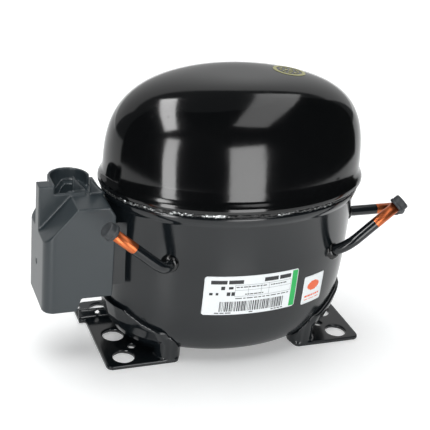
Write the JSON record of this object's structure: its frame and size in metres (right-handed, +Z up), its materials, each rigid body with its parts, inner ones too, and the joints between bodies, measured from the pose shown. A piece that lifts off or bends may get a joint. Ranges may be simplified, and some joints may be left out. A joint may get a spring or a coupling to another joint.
{
  "type": "hermetic reciprocating compressor",
  "caption": "Welded hermetic refrigeration compressor with sprung pump and motor inside, connection tubes, base plates and a pull-off terminal cover.",
  "frame": {"origin": "on the floor, at the middle of the overall plan, which is the middle of the welded shell", "axes": "+X towards the discharge tube end, -Y towards the rating label, +Z up"},
  "size_m": [0.292, 0.136, 0.2066],
  "materials": {
    "gloss_black_paint": "gloss black baked enamel",
    "satin_black_paint": "satin black enamel",
    "weld_metal": "rough arc weld, thinly painted",
    "copper_tube": "drawn copper, painted black near the shell",
    "plug_rubber": "moulded black rubber",
    "slate_plastic": "slate grey moulded plastic",
    "dark_plastic": "black moulded plastic",
    "bright_steel": "machined or drawn steel",
    "cast_iron": "cast and machined iron",
    "laminations": "stacked electrical steel",
    "winding_wire": "enamelled copper wire, laced",
    "aluminium": "die-cast aluminium",
    "gasket_fibre": "pressed fibre",
    "label_paper": "printed film label",
    "khaki_film": "thin film sticker"
  },
  "bodies": {
    "shell": {"lower_shell": "gloss_black_paint", "upper_shell": "gloss_black_paint", "left_foot": "satin_black_paint", "right_foot": "satin_black_paint", "terminal_fence": "satin_black_paint", "suction_collar": "satin_black_paint", "process_collar": "satin_black_paint", "discharge_collar": "satin_black_paint", "weld_bead": "weld_metal", "hermetic_terminal": "weld_metal", "suction_tube": "copper_tube", "process_tube": "copper_tube", "discharge_tube": "copper_tube", "start_relay": "dark_plastic", "overload_protector": "dark_plastic", "common_pin": "bright_steel", "start_pin": "bright_steel", "run_pin": "bright_steel", "earth_screw": "bright_steel", "spring_1": "bright_steel", "spring_2": "bright_steel", "spring_3": "bright_steel", "spring_4": "bright_steel", "rating_label": "label_paper", "service_label": "label_paper", "top_sticker": "khaki_film"},
    "pump": {"stator_core": "laminations", "lower_winding": "winding_wire", "upper_winding": "winding_wire", "stator_bolt_1": "bright_steel", "stator_bolt_2": "bright_steel", "stator_bolt_3": "bright_steel", "stator_bolt_4": "bright_steel", "crankcase": "cast_iron", "thrust_washer": "bright_steel", "cylinder_gasket": "gasket_fibre", "head_gasket": "gasket_fibre", "valve_plate": "bright_steel", "cylinder_head": "aluminium", "head_screw_1": "bright_steel", "head_screw_2": "bright_steel", "head_screw_3": "bright_steel", "head_screw_4": "bright_steel", "suction_muffler": "dark_plastic", "discharge_loop": "copper_tube"},
    "crank": {"crankshaft": "bright_steel", "rotor": "aluminium", "counterweight": "cast_iron", "oil_pickup": "bright_steel"},
    "slider": {"slider_block": "bright_steel"},
    "gallery": {"gallery_plug": "aluminium"},
    "piston": {"piston_yoke": "cast_iron"},
    "suction_valve": {"suction_reed": "bright_steel"},
    "discharge_valve": {"discharge_reed": "bright_steel"},
    "cover": {"terminal_cover": "slate_plastic"},
    "suction_cap": {"suction_plug": "plug_rubber"},
    "process_cap": {"process_plug": "plug_rubber"},
    "discharge_cap": {"discharge_plug": "plug_rubber"}
  },
  "joints": [
    {"name": "pump_float", "type": "slide", "parent": "shell", "child": "pump", "axis": [0, 0, 1], "range_m": [-0.0025, 0.0025], "stiffness_N_per_m": 24000, "springref_m": 0.00181, "deforming": ["spring_1", "spring_2", "spring_3", "spring_4"]},
    {"name": "crank_spin", "type": "hinge", "parent": "pump", "child": "crank", "pos_m": [-0.022, 0, 0.12], "axis": [0, 0, 1], "continuous": true},
    {"name": "slider_turn", "type": "hinge", "parent": "crank", "child": "slider", "pos_m": [-0.0165, 0.00953, 0.154], "axis": [0, 0, 1], "continuous": true},
    {"name": "gallery_turn", "type": "hinge", "parent": "crank", "child": "gallery", "pos_m": [-0.01925, 0.00476, 0.154], "axis": [0, 0, 1], "continuous": true},
    {"name": "piston_stroke", "type": "hinge", "parent": "gallery", "child": "piston", "pos_m": [-0.0165, 0, 0.154], "axis": [0, 0, 1], "continuous": true},
    {"name": "suction_reed_lift", "type": "hinge", "parent": "pump", "child": "suction_valve", "pos_m": [0.0547, 0.005, 0.163], "axis": [0, 1, 0], "range_deg": [0, 2.5], "stiffness_Nm_per_rad": 0.02},
    {"name": "discharge_reed_lift", "type": "hinge", "parent": "pump", "child": "discharge_valve", "pos_m": [0.059, -0.005, 0.163], "axis": [0, -1, 0], "range_deg": [0, 2.5], "stiffness_Nm_per_rad": 0.03},
    {"name": "cover_pull", "type": "slide", "parent": "shell", "child": "cover", "axis": [-1, 0, 0], "range_m": [0, 0.075]},
    {"name": "suction_plug_pull", "type": "slide", "parent": "shell", "child": "suction_cap", "axis": [-0.7695, 0, 0.6386], "range_m": [0, 0.015]},
    {"name": "process_plug_pull", "type": "slide", "parent": "shell", "child": "process_cap", "axis": [0.7397, -0.0403, 0.6718], "range_m": [0, 0.015]},
    {"name": "discharge_plug_pull", "type": "slide", "parent": "shell", "child": "discharge_cap", "axis": [1, 0, 0], "range_m": [0, 0.015]}
  ],
  "couplings": [
    {"joint": "slider_turn", "follows": "crank_spin", "ratio": -1},
    {"joint": "gallery_turn", "follows": "crank_spin", "ratio": -2},
    {"joint": "piston_stroke", "follows": "crank_spin", "ratio": 1}
  ]
}
